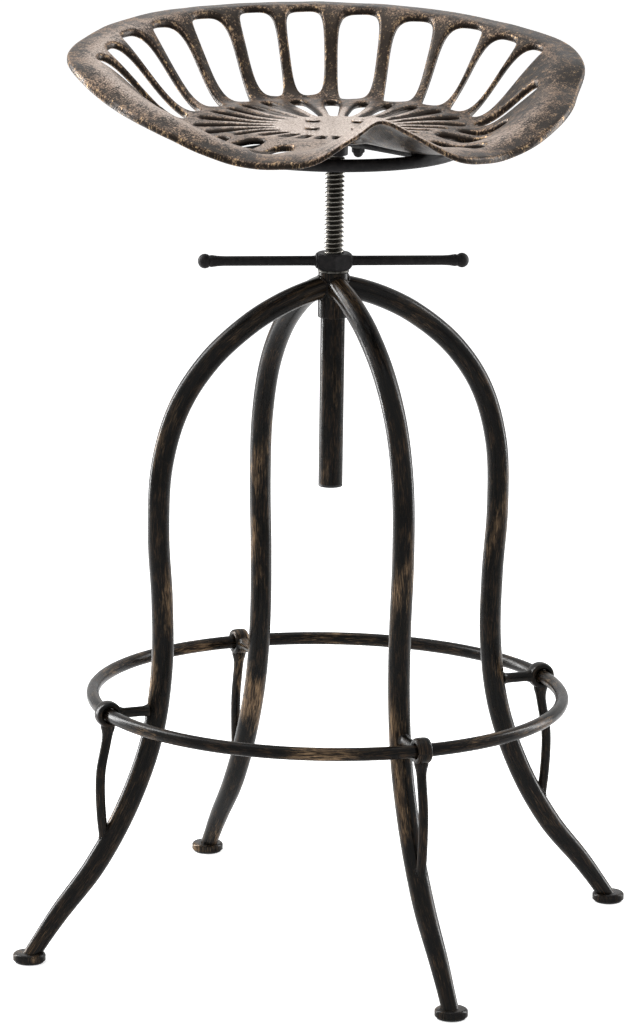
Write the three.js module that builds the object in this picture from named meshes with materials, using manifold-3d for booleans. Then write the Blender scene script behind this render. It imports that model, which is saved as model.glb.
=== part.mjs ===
import * as THREE from 'three';
import { mergeVertices } from 'three/addons/utils/BufferGeometryUtils.js';
import Module from 'manifold-3d';

// Bar stool with a cast tractor seat on a screw spindle, four bent tube legs and a foot ring.
// Millimetres, +Z up, origin on the floor under the spindle, one leg on each of the four axes.

// Fit between pieces
const gap = 0.3;
const overrun = 5;

// Legs and feet
const legCount = 4;
const footCircleRadius = 276;
const legTubeDiameter = 19;
const legTubeWall = 1.5;
const footDiameter = 28.5;
const footHeight = 8.5;
const footPlateThickness = 3;
const glideHeight = 5;
const glideShow = 2;

// Hub and guide tube
const hubTop = 589.5;
const hubHeight = 39.5;
const hubDiameter = 26;
const guideTubeDiameter = 21;
const guideTubeWall = 1.5;
const guideTubeLength = 149;
const plugFlangeThickness = 2;
const plugStemLength = 5;
const plugStemWall = 1.6;

// Foot ring and its brackets
const footRingReach = 45.4;
const footRingHeight = 214.5;
const footRingRod = 11.5;
const eyeDiameter = 23;
const eyeWidth = 13;
const strutRod = 9;
const stayRod = 8.5;

// Spindle and its guide bush
const spindleDiameter = 17;
const spindleThreadLength = 205;
const spindleChamfer = 1.5;
const journalDiameter = 10;
const journalLength = 16;
const journalTopShare = 0.68;
const screwHole = 5;
const screwHoleDepth = 14;
const bushWasherDiameter = 15;
const bushWasherThickness = 2;
const bushScrewHeadDiameter = 9;
const bushScrewHeadHeight = 5;
const bushScrewLength = 12;

// Lock nut with its T bars
const thrustWasherDiameter = 27;
const thrustWasherThickness = 2;
const lockNutAcrossFlats = 28;
const lockNutHeight = 14;
const lockNutChamfer = 1.2;
const tBarRod = 8.5;
const tBarReach = 111;
const tBarSeat = 3;
const tBallDiameter = 13;
const tBarTurnAtRest = -17.3;

// Seat carrier under the casting
const collarDiameter = 22;
const collarHeight = 16;
const armWidth = 20;
const armThickness = 4.5;
const handRingDrop = 3;
const armCount = 4;
const armTurn = 30;
const handRingRadius = 107;
const handRingRod = 11;
const boltCircleRadius = 28;
const boltDiameter = 6;
const boltHeadDiameter = 13;
const boltHeadHeight = 3.5;
const boltWasherDiameter = 13;
const boltWasherThickness = 1.2;
const capNutAcrossFlats = 10;
const capNutHeight = 8.5;

// Seat casting
const seatTurnAtRest = -8.5;
const seatHalfWidth = 220;
const seatWallHeight = 73;
const panDish = 10;
const castThickness = 6.5;
const bossThickness = 9;
const bossRadius = 46;
const bossFade = 12;
const lipRoll = 16;
const innerSlotCount = 28;
const innerSlotStart = 52;

// How round pieces are faceted
const legSides = 8;
const legBoreSides = 6;
const legSteps = 22;
const rodSides = 8;
const staySteps = 8;
const ringSides = 8;
const footRingSteps = 40;
const handRingSteps = 28;
const turnedSides = 16;
const bracketSides = 12;
const smallSides = 8;
const seatAngleSteps = 52;
const outerSlotPoints = 10;
const innerSlotPoints = 8;
const armArcSteps = 3;

const halfTurn = Math.PI;
const fullTurn = 2 * Math.PI;
const radians = THREE.MathUtils.degToRad;

// Finishes
const framePaint = { color: 0x2a211c, roughness: 0.42, metalness: 0.75 };
const seatBronze = { color: 0x4a382c, roughness: 0.5, metalness: 0.8 };
const bareSteel = { color: 0x8b8a86, roughness: 0.35, metalness: 1 };
const satinBlack = { color: 0x1b1918, roughness: 0.4, metalness: 0.6 };
const zincPlate = { color: 0x6f6c66, roughness: 0.4, metalness: 1 };
const blackPlastic = { color: 0x141414, roughness: 0.6, metalness: 0 };
const whiteNylon = { color: 0xd8d4c8, roughness: 0.55, metalness: 0 };

const wasm = await Module();
wasm.setup();

const group = new THREE.Group();

function piece(parent, name, geometry, finish) {
  const mesh = new THREE.Mesh(geometry, new THREE.MeshStandardMaterial(finish));
  mesh.name = name;
  parent.add(mesh);
  return mesh;
}

// A closed geometry as a manifold-3d solid
function solid(geometry) {
  const bare = geometry.clone();
  bare.deleteAttribute('normal');
  bare.deleteAttribute('uv');
  const merged = mergeVertices(bare);
  return new wasm.Manifold(new wasm.Mesh({
    numProp: 3,
    vertProperties: new Float32Array(merged.attributes.position.array),
    triVerts: new Uint32Array(merged.index.array),
  }));
}

// A manifold-3d solid as a geometry
function surface(body) {
  const mesh = body.getMesh();
  const geometry = new THREE.BufferGeometry();
  geometry.setAttribute('position', new THREE.BufferAttribute(new Float32Array(mesh.vertProperties), 3));
  geometry.setIndex(new THREE.BufferAttribute(new Uint32Array(mesh.triVerts), 1));
  geometry.computeVertexNormals();
  return geometry;
}

function circlePoints(radius, sides) {
  const points = [];
  for (let i = 0; i < sides; i += 1) {
    const angle = (i + 0.5) * fullTurn / sides;
    points.push(new THREE.Vector2(radius * Math.cos(angle), radius * Math.sin(angle)));
  }
  return points;
}

// A round rod or tube along a curve
function rodAlong(curve, diameter, sides, steps, bore = 0, boreSides = sides) {
  const section = new THREE.Shape(circlePoints(diameter / 2, sides));
  if (bore > 0) section.holes.push(new THREE.Path(circlePoints(bore / 2, boreSides)));
  return new THREE.ExtrudeGeometry(section, { steps, bevelEnabled: false, extrudePath: curve });
}

function straightRod(from, to, diameter, sides) {
  return rodAlong(new THREE.LineCurve3(from, to), diameter, sides, 1);
}

// A turned piece, its outline given as radius and height pairs, standing on Z
function turned(outline, sides) {
  const points = outline.map(([radius, height]) => new THREE.Vector2(radius, height));
  return new THREE.LatheGeometry(points, sides).rotateX(halfTurn / 2);
}

// A turned ring or tube, its outline closed on itself
function turnedRing(outline, sides) {
  return turned([...outline, outline[0]], sides);
}

function plainWasher(outer, bore, bottom, thickness, sides) {
  const top = bottom + thickness;
  return turnedRing([[bore / 2, bottom], [outer / 2, bottom], [outer / 2, top], [bore / 2, top]], sides);
}

// A smooth value between the rows of a table of [degrees, value...]
function alongTable(table, degrees, column) {
  const last = table.length - 1;
  let i = 0;
  while (i < last - 1 && table[i + 1][0] < degrees) i += 1;
  const [a, b] = [table[i], table[i + 1]];
  const span = b[0] - a[0];
  const slopeAt = (k) => {
    if (k === 0 || k === last) return 0;
    return (table[k + 1][column] - table[k - 1][column]) / (table[k + 1][0] - table[k - 1][0]);
  };
  const t = (degrees - a[0]) / span;
  const keep = 2 * t ** 3 - 3 * t ** 2 + 1;
  return keep * a[column] + (1 - keep) * b[column]
    + (t ** 3 - 2 * t ** 2 + t) * span * slopeAt(i)
    + (t ** 3 - t ** 2) * span * slopeAt(i + 1);
}

// Heights that follow from the sizes above
const hubBottom = hubTop - hubHeight;
const guideTubeBottom = hubBottom - guideTubeLength;
const guideTubeBore = guideTubeDiameter - 2 * guideTubeWall;
const thrustWasherBottom = hubTop + gap;
const lockNutBottom = thrustWasherBottom + thrustWasherThickness + gap;
const lockNutTop = lockNutBottom + lockNutHeight;
const tBarHeight = lockNutBottom + lockNutHeight / 2;
const journalTop = guideTubeBottom + journalTopShare * guideTubeLength;
const journalBottom = journalTop - journalLength;
const spindleTop = journalTop + spindleThreadLength;
const collarBottom = spindleTop - collarHeight;
const armBottom = spindleTop - armThickness;
const handRingHeight = armBottom - handRingDrop;
const bossBottom = spindleTop + gap;
const seatFloor = bossBottom + bossThickness;

// Shape of a leg, from the foot to the hub: shares of the foot circle's radius and of the hub's top
const legRadiusShares = [1.045, 0.987, 0.904, 0.784, 0.677, 0.595, 0.563, 0.564,
  0.578, 0.568, 0.512, 0.41, 0.276, 0.176, 0.094, 0.02];
const legHeightShares = [-0.03, 0.0144, 0.0679, 0.1357, 0.2205, 0.3223, 0.4241, 0.5259,
  0.6277, 0.7294, 0.8142, 0.8821, 0.933, 0.9645, 0.9785, 0.981];

function legCurve() {
  const points = legRadiusShares.map((share, i) => new THREE.Vector3(
    share * footCircleRadius, 0, legHeightShares[i] * hubTop));
  return new THREE.CatmullRomCurve3(points, false, 'centripetal');
}

// The leg's centre line at a height, below its widest bow
function legRadiusAt(height) {
  const curve = legCurve();
  let [low, high] = [0, 0.6];
  for (let i = 0; i < 40; i += 1) {
    const middle = (low + high) / 2;
    if (curve.getPoint(middle).z < height) low = middle;
    else high = middle;
  }
  return curve.getPoint(low).x;
}

const footRingRadius = legRadiusAt(footRingHeight) + footRingReach;

// Bent tube leg, mitred to the hub and cut level on top of its foot
function leg() {
  const tube = rodAlong(legCurve(), legTubeDiameter, legSides, legSteps,
    legTubeDiameter - 2 * legTubeWall, legBoreSides);
  const hubRound = new THREE.CylinderGeometry(hubDiameter / 2 + gap, hubDiameter / 2 + gap,
    2 * hubHeight, turnedSides).rotateX(halfTurn / 2).translate(0, 0, hubTop);
  const below = new THREE.BoxGeometry(footCircleRadius, footCircleRadius, footCircleRadius)
    .translate(footCircleRadius, 0, footHeight + gap - footCircleRadius / 2);
  let body = solid(tube).subtract(solid(hubRound)).subtract(solid(below));
  for (const side of [-1, 1]) {
    const neighbour = new THREE.BoxGeometry(hubDiameter * 2, hubDiameter, hubDiameter * 2)
      .translate(0, side * (hubDiameter / 2 - gap), 0)
      .rotateZ(side * halfTurn / 4)
      .translate(0, 0, hubTop);
    body = body.subtract(solid(neighbour));
  }
  return surface(body);
}

// Steel foot cup, open underneath for its glide
function footCup() {
  const radius = footDiameter / 2;
  const recess = radius - legTubeWall;
  const ceiling = footHeight - footPlateThickness;
  return turned([
    [0, ceiling], [recess, ceiling], [recess, glideShow], [radius, glideShow],
    [radius, footHeight - legTubeWall / 2], [radius - legTubeWall / 2, footHeight],
    [0, footHeight],
  ], bracketSides).translate(footCircleRadius, 0, 0);
}

function footGlide() {
  const radius = footDiameter / 2 - legTubeWall - gap;
  const edge = glideShow / 2;
  return turned([[0, 0], [radius - edge, 0], [radius, edge],
    [radius, glideHeight], [0, glideHeight]], bracketSides).translate(footCircleRadius, 0, 0);
}

// Round boss with the spindle's thread through it
function hub() {
  const radius = hubDiameter / 2;
  const edge = gap * 3;
  const bore = spindleDiameter / 2 + gap;
  return turnedRing([[bore, hubBottom], [radius, hubBottom], [radius, hubTop - edge],
    [radius - edge, hubTop], [bore, hubTop]], turnedSides);
}

function guideTube() {
  const bottom = guideTubeBottom + plugFlangeThickness + gap;
  return plainWasher(guideTubeDiameter, guideTubeBore, bottom, hubBottom - gap - bottom, turnedSides);
}

// Push-in plug that closes the guide tube
function tubeEndPlug() {
  const flangeTop = guideTubeBottom + plugFlangeThickness;
  const stem = guideTubeBore / 2 - gap;
  const stemTop = flangeTop + plugStemLength;
  return turned([[0, guideTubeBottom], [guideTubeDiameter / 2, guideTubeBottom],
    [guideTubeDiameter / 2, flangeTop], [stem, flangeTop], [stem, stemTop],
    [stem - plugStemWall, stemTop], [stem - plugStemWall, flangeTop], [0, flangeTop]], turnedSides);
}

// Ring whose straight steps lie on its radius at their middles, one in each eye
function footRing() {
  const corner = footRingRadius / Math.cos(halfTurn / footRingSteps);
  return new THREE.TorusGeometry(corner, footRingRod / 2, ringSides, footRingSteps)
    .rotateZ(halfTurn / footRingSteps)
    .translate(0, 0, footRingHeight);
}

// Rounded eye that the foot ring passes through
function ringEye() {
  const outer = eyeDiameter / 2;
  const bore = footRingRod / 2 + gap;
  const half = eyeWidth / 2;
  const crown = (outer - bore) / 3;
  return turnedRing([[bore, -half], [outer - crown, -half], [outer, -half / 3],
    [outer, half / 3], [outer - crown, half], [bore, half]], bracketSides)
    .rotateX(halfTurn / 2)
    .translate(footRingRadius, 0, footRingHeight);
}

// What a bracket rod is cut by at its two ends: the eye and the leg
function bracketNeighbours() {
  const eyeRound = new THREE.CylinderGeometry(eyeDiameter / 2 + gap, eyeDiameter / 2 + gap,
    2 * eyeWidth, turnedSides).translate(footRingRadius, 0, footRingHeight);
  const legRound = rodAlong(legCurve(), legTubeDiameter + 2 * gap, legSides, legSteps);
  return solid(eyeRound).add(solid(legRound));
}

function ringStrut(neighbours) {
  const from = new THREE.Vector3(legRadiusAt(footRingHeight), 0, footRingHeight);
  const to = new THREE.Vector3(footRingRadius, 0, footRingHeight);
  return surface(solid(straightRod(from, to, strutRod, rodSides)).subtract(neighbours));
}

// Stay that bows out from under the eye and comes back to the leg
const stayReachShares = [0, 0.004, 0.032, 0.028, 0.01];
const stayDropShares = [0, 0.09, 0.245, 0.413, 0.545];

function ringStay(neighbours) {
  const points = stayReachShares.map((share, i) => new THREE.Vector3(
    footRingRadius * (1 + share), 0, footRingHeight * (1 - stayDropShares[i])));
  const rod = rodAlong(new THREE.CatmullRomCurve3(points), stayRod, rodSides, staySteps);
  const pieces = solid(rod).subtract(neighbours).decompose();
  pieces.sort((a, b) => b.volume() - a.volume());
  return surface(pieces[0]);
}

// Screw spindle: full thread, turned journal below with a tapped hole in its end
function spindle() {
  const thread = spindleDiameter / 2;
  const journal = journalDiameter / 2;
  const tapped = screwHole / 2 + gap;
  return turned([
    [0, journalBottom + screwHoleDepth], [tapped, journalBottom + screwHoleDepth],
    [tapped, journalBottom], [journal, journalBottom], [journal, journalTop],
    [thread - spindleChamfer, journalTop], [thread, journalTop + spindleChamfer],
    [thread, spindleTop], [0, spindleTop],
  ], turnedSides);
}

// Nylon bush on the journal, sliding in the guide tube
function guideBush() {
  const outer = guideTubeBore - 2 * gap;
  const edge = 2 * gap;
  const [bottom, top] = [journalBottom + gap, journalTop - gap];
  return turnedRing([[journalDiameter / 2 + gap, bottom], [outer / 2 - edge, bottom],
    [outer / 2, bottom + edge], [outer / 2, top - edge], [outer / 2 - edge, top],
    [journalDiameter / 2 + gap, top]], turnedSides);
}

function bushWasher() {
  const top = journalBottom - gap;
  return plainWasher(bushWasherDiameter, screwHole + 2 * gap, top - bushWasherThickness,
    bushWasherThickness, turnedSides);
}

function bushScrew() {
  const head = bushScrewHeadDiameter / 2;
  const under = journalBottom - 2 * gap - bushWasherThickness;
  const shank = screwHole / 2;
  return turned([[0, under - bushScrewHeadHeight], [head, under - bushScrewHeadHeight], [head, under],
    [shank, under], [shank, under + bushScrewLength], [0, under + bushScrewLength]], smallSides);
}

function thrustWasher() {
  return plainWasher(thrustWasherDiameter, spindleDiameter + 2 * gap, thrustWasherBottom,
    thrustWasherThickness, turnedSides);
}

// A hexagon by its size across flats, with a flat facing +X
function hexagon(acrossFlats) {
  const points = [];
  for (let i = 0; i < 6; i += 1) {
    const angle = (i + 0.5) * fullTurn / 6;
    const corner = acrossFlats / 2 / Math.cos(halfTurn / 6);
    points.push(new THREE.Vector2(corner * Math.cos(angle), corner * Math.sin(angle)));
  }
  return new THREE.Shape(points);
}

// Lock nut with chamfered corners and a seat for each T bar
function lockNut() {
  const blank = new THREE.ExtrudeGeometry(hexagon(lockNutAcrossFlats),
    { depth: lockNutHeight, bevelEnabled: false }).translate(0, 0, lockNutBottom);
  const corner = lockNutAcrossFlats / 2 / Math.cos(halfTurn / 6);
  const bore = spindleDiameter / 2 + gap;
  const envelope = turnedRing([[bore, lockNutBottom], [corner - lockNutChamfer, lockNutBottom],
    [corner, lockNutBottom + lockNutChamfer], [corner, lockNutTop - lockNutChamfer],
    [corner - lockNutChamfer, lockNutTop], [bore, lockNutTop]], turnedSides);
  let body = solid(blank).intersect(solid(envelope));
  for (const side of [-1, 1]) {
    const from = new THREE.Vector3(side * (lockNutAcrossFlats / 2 - tBarSeat), 0, tBarHeight);
    const to = new THREE.Vector3(side * lockNutAcrossFlats, 0, tBarHeight);
    body = body.subtract(solid(straightRod(from, to, tBarRod + 2 * gap, smallSides)));
  }
  return surface(body);
}

function tBar(side) {
  const start = lockNutAcrossFlats / 2 - tBarSeat + gap;
  const end = tBarReach - tBallDiameter / 2 + tBarSeat;
  const from = new THREE.Vector3(side * start, 0, tBarHeight);
  const to = new THREE.Vector3(side * end, 0, tBarHeight);
  return straightRod(from, to, tBarRod, smallSides);
}

// Ball end with the blind hole that its bar sits in
function tBall(side) {
  const ball = new THREE.SphereGeometry(tBallDiameter / 2, smallSides, smallSides / 2)
    .translate(side * tBarReach, 0, tBarHeight);
  const end = tBarReach - tBallDiameter / 2 + tBarSeat + gap;
  const from = new THREE.Vector3(side * (end - tBallDiameter), 0, tBarHeight);
  const to = new THREE.Vector3(side * end, 0, tBarHeight);
  return surface(solid(ball).subtract(solid(straightRod(from, to, tBarRod + 2 * gap, smallSides))));
}

// Collar welded on the spindle's top end
function spindleCollar() {
  return plainWasher(collarDiameter, spindleDiameter + 2 * gap, collarBottom, collarHeight, turnedSides);
}

// Flat arm from the collar to the hand ring, its ends curved to both, with its bolt hole
function seatArm() {
  const half = armWidth / 2;
  const start = collarDiameter / 2 + gap;
  const end = (handRingRadius * Math.cos(halfTurn / handRingSteps)) - handRingRod / 2 - gap;
  const tail = Math.asin(half / end);
  const nose = halfTurn / 4 - Math.asin(gap / start);
  const shape = new THREE.Shape();
  shape.absarc(0, 0, end, -tail, tail, false);
  shape.lineTo(half + gap, half);
  shape.absarc(0, 0, start, nose, -nose, true);
  shape.lineTo(half + gap, -half);
  const hole = circlePoints(boltDiameter / 2 + gap, smallSides);
  for (const point of hole) point.x += boltCircleRadius;
  shape.holes.push(new THREE.Path(hole));
  const rise = { depth: armThickness, bevelEnabled: false, curveSegments: armArcSteps };
  return new THREE.ExtrudeGeometry(shape, rise).translate(0, 0, armBottom);
}

function handRing() {
  return new THREE.TorusGeometry(handRingRadius, handRingRod / 2, ringSides, handRingSteps)
    .translate(0, 0, handRingHeight);
}

// Domed carriage bolt, its head in the seat
const boltHeadShares = [[1, 0.33], [0.6, 0.85], [0, 1]];

function seatBolt() {
  const head = boltHeadDiameter / 2;
  const shank = boltDiameter / 2;
  const under = seatFloor + gap;
  const end = armBottom - boltWasherThickness - capNutHeight / 2;
  const dome = boltHeadShares.map(([reach, rise]) => [reach * head, under + rise * boltHeadHeight]);
  return turned([[0, end], [shank, end], [shank, under], [head, under], ...dome], smallSides)
    .translate(boltCircleRadius, 0, 0);
}

function seatWasher() {
  const top = armBottom - gap;
  return plainWasher(boltWasherDiameter, boltDiameter + 2 * gap, top - boltWasherThickness,
    boltWasherThickness, smallSides).translate(boltCircleRadius, 0, 0);
}

// Domed cap nut under the arm
const capDomeShares = [[0, 0], [0.5, 0.08], [0.85, 0.28], [0.9, 0.75], [0, 0.75]];

function capNut() {
  const top = armBottom - 2 * gap - boltWasherThickness;
  const hexHeight = capNutHeight / 2;
  const dome = capNutAcrossFlats / 2;
  const bottom = top - capNutHeight;
  const blank = new THREE.ExtrudeGeometry(hexagon(capNutAcrossFlats),
    { depth: hexHeight, bevelEnabled: false }).translate(0, 0, top - hexHeight);
  const cap = turned(capDomeShares.map(([reach, rise]) => [reach * dome, bottom + rise * capNutHeight]),
    smallSides);
  const hole = new THREE.CylinderGeometry(boltDiameter / 2 + gap, boltDiameter / 2 + gap,
    capNutHeight, smallSides).rotateX(halfTurn / 2).translate(0, 0, top);
  return surface(solid(blank).add(solid(cap)).subtract(solid(hole))).translate(boltCircleRadius, 0, 0);
}

// Rim of the seat by degrees from its back: radius as a share of the half width, height of the
// edge over the floor as a share of the wall height, and how much of the lip roll the edge falls
const rimShares = [
  [0, 1.045, 1.01, 0],
  [30, 1.03, 0.99, 0],
  [60, 1.022, 0.885, 0],
  [75, 1.04, 0.79, 0],
  [90, 1, 0.64, 0.18],
  [100, 0.94, 0.44, 0.34],
  [110, 0.914, 0.33, 0.4],
  [120, 0.885, 0.19, 0.36],
  [130, 0.846, 0.012, 0.3],
  [140, 0.806, -0.108, 0.3],
  [150, 0.807, -0.11, 0.32],
  [160, 0.81, -0.032, 0.38],
  [170, 0.755, 0.23, 0.42],
  [180, 0.688, 0.43, 0.44],
];

// Where the floor ends and the wall starts to rise, by degrees from the back, as a share of the
// rim's radius
const floorShares = [[0, 0.635], [40, 0.573], [80, 0.544], [110, 0.598], [140, 0.616], [160, 0.52],
  [180, 0.42]];

// How far the floor dishes up or down by degrees from the back, as a share of the pan's dish, and
// between which shares of the rim's radius it does so: in front only past the hand ring
const dishShares = [
  [0, 0, 0.3, 0.685],
  [50, 0.45, 0.3, 0.62],
  [90, -0.3, 0.3, 0.62],
  [110, -0.48, 0.38, 0.65],
  [125, -0.55, 0.4, 0.64],
  [140, -0.55, 0.45, 0.7],
  [150, -0.45, 0.5, 0.72],
  [160, -0.2, 0.4, 0.65],
  [180, 0.8, 0.3, 0.5],
];
const crestShare = 0.93;
const lipShare = 0.78;

// Open slots round the wall, one side: degrees from the back and share of the half width at
// the inner end, the same at the outer end, and the width as a share of the half width
const outerSlotShares = [
  [6.3, 0.7, 6.2, 0.95, 0.14],
  [21, 0.636, 20.3, 0.93, 0.155],
  [38.9, 0.572, 35.1, 0.912, 0.155],
  [54.6, 0.58, 49.9, 0.915, 0.152],
  [67, 0.593, 63.2, 0.908, 0.138],
  [78, 0.6, 74, 0.926, 0.118],
  [88.5, 0.57, 94.5, 0.8, 0.105],
  [103.5, 0.475, 108.4, 0.67, 0.1],
  [121, 0.42, 122, 0.6, 0.1],
  [141, 0.48, 142, 0.665, 0.105],
];

// Outer end of the inner slots by degrees from the back, as a share of the half width
const innerSlotShares = [[0, 0.66], [20, 0.59], [39, 0.525], [55, 0.535], [67, 0.548], [79, 0.55],
  [90, 0.53], [104, 0.43], [117, 0.36], [136, 0.34], [158, 0.33], [180, 0.33]];
const innerSlotOpenShare = 0.52;
const slotTaperShare = 0.18;
const slotSquareness = 3.2;

function fromBack(angle) {
  const degrees = Math.abs(THREE.MathUtils.radToDeg(angle)) % 360;
  return degrees > 180 ? 360 - degrees : degrees;
}

function smooth(from, to, value) {
  const t = THREE.MathUtils.clamp((value - from) / (to - from), 0, 1);
  return t * t * (3 - 2 * t);
}

// A point of the seat's upper face, by its angle from the back and its share of the rim's radius
function seatPoint(angle, share) {
  const degrees = fromBack(angle);
  const radius = share * seatHalfWidth * alongTable(rimShares, degrees, 1);
  const fall = lipRoll * alongTable(rimShares, degrees, 3);
  const crest = seatWallHeight * alongTable(rimShares, degrees, 2) + fall;
  const floorEnd = alongTable(floorShares, degrees, 1);
  const dish = panDish * alongTable(dishShares, degrees, 1);
  const dishFrom = alongTable(dishShares, degrees, 2);
  const dishTo = alongTable(dishShares, degrees, 3);
  const lip = Math.max(0, (share - lipShare) / (1 - lipShare));
  const height = seatFloor + dish * smooth(dishFrom, dishTo, share)
    + (crest - dish) * smooth(floorEnd, crestShare, share) - fall * lip ** 2;
  return new THREE.Vector3(radius * Math.sin(angle), radius * Math.cos(angle), height);
}

function seatNormal(angle, share) {
  const step = 0.01;
  const inner = Math.max(share, step);
  const along = seatPoint(angle, inner + step).sub(seatPoint(angle, inner - step));
  const round = seatPoint(angle - step, inner).sub(seatPoint(angle + step, inner));
  return along.cross(round).normalize();
}

// Seat shell: upper face, lower face set off by the cast thickness, rounded edge
const stationShares = [0.3, 0.48, 0.6, 0.69, 0.78, 0.87, 0.94, 1];
const edgeBulgeShare = 0.3;

function seatShell() {
  const rings = stationShares.map((share) => [share, 0, 0]);
  rings.push([1, 0.5, edgeBulgeShare]);
  for (const share of [...stationShares].reverse()) rings.push([share, 1, 0]);
  const positions = [];
  const push = (point) => positions.push(point.x, point.y, point.z);
  push(new THREE.Vector3(0, 0, seatFloor));
  for (const [share, depth, bulge] of rings) {
    for (let j = 0; j < seatAngleSteps; j += 1) {
      const angle = j * fullTurn / seatAngleSteps;
      const point = seatPoint(angle, share);
      const normal = seatNormal(angle, share);
      const flat = Math.hypot(point.x, point.y);
      const boss = 1 - smooth(bossRadius, bossRadius + bossFade, flat);
      const thickness = castThickness + (bossThickness - castThickness) * boss;
      const outward = new THREE.Vector3(point.x, point.y, 0).normalize();
      push(point.addScaledVector(normal, -thickness * depth)
        .addScaledVector(outward, bulge * castThickness));
    }
  }
  push(new THREE.Vector3(0, 0, seatFloor - bossThickness));
  const last = positions.length / 3 - 1;
  const index = [];
  for (let j = 0; j < seatAngleSteps; j += 1) {
    const next = (j + 1) % seatAngleSteps;
    index.push(0, 1 + next, 1 + j);
    for (let i = 0; i < rings.length - 1; i += 1) {
      const a = 1 + i * seatAngleSteps + j;
      const b = 1 + i * seatAngleSteps + next;
      const c = a + seatAngleSteps;
      const d = b + seatAngleSteps;
      index.push(a, b, d, a, d, c);
    }
    const start = 1 + (rings.length - 1) * seatAngleSteps;
    index.push(last, start + j, start + next);
  }
  const geometry = new THREE.BufferGeometry();
  geometry.setAttribute('position', new THREE.Float32BufferAttribute(positions, 3));
  geometry.setIndex(index);
  return geometry;
}

// Upright cutter for one slot between two places, with its width at both ends
function slotCutter(innerAngle, innerRadius, outerAngle, outerRadius, innerWidth, outerWidth, points) {
  const from = new THREE.Vector2(innerRadius * Math.sin(innerAngle), innerRadius * Math.cos(innerAngle));
  const to = new THREE.Vector2(outerRadius * Math.sin(outerAngle), outerRadius * Math.cos(outerAngle));
  const middle = from.clone().add(to).multiplyScalar(0.5);
  const half = to.clone().sub(from).multiplyScalar(0.5);
  const across = new THREE.Vector2(-half.y, half.x).normalize();
  const outline = [];
  for (let i = 0; i < points; i += 1) {
    const angle = (i + 0.5) * fullTurn / points;
    const round = (value) => Math.sign(value) * Math.abs(value) ** (2 / slotSquareness);
    const along = round(Math.cos(angle));
    const width = THREE.MathUtils.lerp(innerWidth, outerWidth, (1 + along) / 2);
    outline.push(middle.clone().addScaledVector(half, along)
      .addScaledVector(across, round(Math.sin(angle)) * width / 2));
  }
  const depth = seatWallHeight + 2 * lipRoll + bossThickness + 2 * overrun;
  return new THREE.ExtrudeGeometry(new THREE.Shape(outline), { depth, bevelEnabled: false })
    .translate(0, 0, seatFloor - bossThickness - lipRoll - overrun);
}

// Cast seat with its two rows of slots and its bolt holes
function seatCasting() {
  let body = solid(seatShell());
  for (const [innerDegrees, inner, outerDegrees, outer, width] of outerSlotShares) {
    for (const side of [-1, 1]) {
      body = body.subtract(solid(slotCutter(side * radians(innerDegrees), inner * seatHalfWidth,
        side * radians(outerDegrees), outer * seatHalfWidth,
        (1 - slotTaperShare) * width * seatHalfWidth, (1 + slotTaperShare) * width * seatHalfWidth,
        outerSlotPoints)));
    }
  }
  for (let i = 0; i < innerSlotCount; i += 1) {
    const angle = i * fullTurn / innerSlotCount;
    const end = alongTable(innerSlotShares, fromBack(angle), 1) * seatHalfWidth;
    const open = innerSlotOpenShare * fullTurn / innerSlotCount;
    body = body.subtract(solid(slotCutter(angle, innerSlotStart, angle, end,
      open * innerSlotStart, open * end, innerSlotPoints)));
  }
  for (let i = 0; i < armCount; i += 1) {
    const angle = radians(armTurn) + i * fullTurn / armCount;
    const hole = new THREE.CylinderGeometry(boltDiameter / 2 + gap, boltDiameter / 2 + gap,
      2 * bossThickness, smallSides).rotateX(halfTurn / 2)
      .translate(boltCircleRadius * Math.cos(angle), boltCircleRadius * Math.sin(angle), seatFloor);
    body = body.subtract(solid(hole));
  }
  return surface(body);
}

// Frame: hub, guide tube, legs, feet, foot ring
const frame = new THREE.Group();
group.add(frame);
piece(frame, 'hub', hub(), framePaint);
piece(frame, 'guide_tube', guideTube(), framePaint);
piece(frame, 'tube_end_plug', tubeEndPlug(), blackPlastic);
piece(frame, 'foot_ring', footRing(), framePaint);
const neighbours = bracketNeighbours();
const sideNames = ['right', 'back', 'left', 'front'];
for (let i = 0; i < legCount; i += 1) {
  const quarter = new THREE.Group();
  quarter.rotation.z = i * fullTurn / legCount;
  frame.add(quarter);
  piece(quarter, `leg_${sideNames[i]}`, leg(), framePaint);
  piece(quarter, `foot_cup_${sideNames[i]}`, footCup(), framePaint);
  piece(quarter, `foot_glide_${sideNames[i]}`, footGlide(), blackPlastic);
  piece(quarter, `ring_eye_${sideNames[i]}`, ringEye(), framePaint);
  piece(quarter, `ring_strut_${sideNames[i]}`, ringStrut(neighbours), framePaint);
  piece(quarter, `ring_stay_${sideNames[i]}`, ringStay(neighbours), framePaint);
}

// Lock nut and what turns with it
piece(group, 'thrust_washer', thrustWasher(), zincPlate);
const lockHandle = new THREE.Group();
lockHandle.rotation.z = radians(tBarTurnAtRest);
group.add(lockHandle);
piece(lockHandle, 'lock_nut', lockNut(), satinBlack);
for (const [side, name] of [[1, 'right'], [-1, 'left']]) {
  piece(lockHandle, `t_bar_${name}`, tBar(side), satinBlack);
  piece(lockHandle, `t_ball_${name}`, tBall(side), satinBlack);
}

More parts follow.
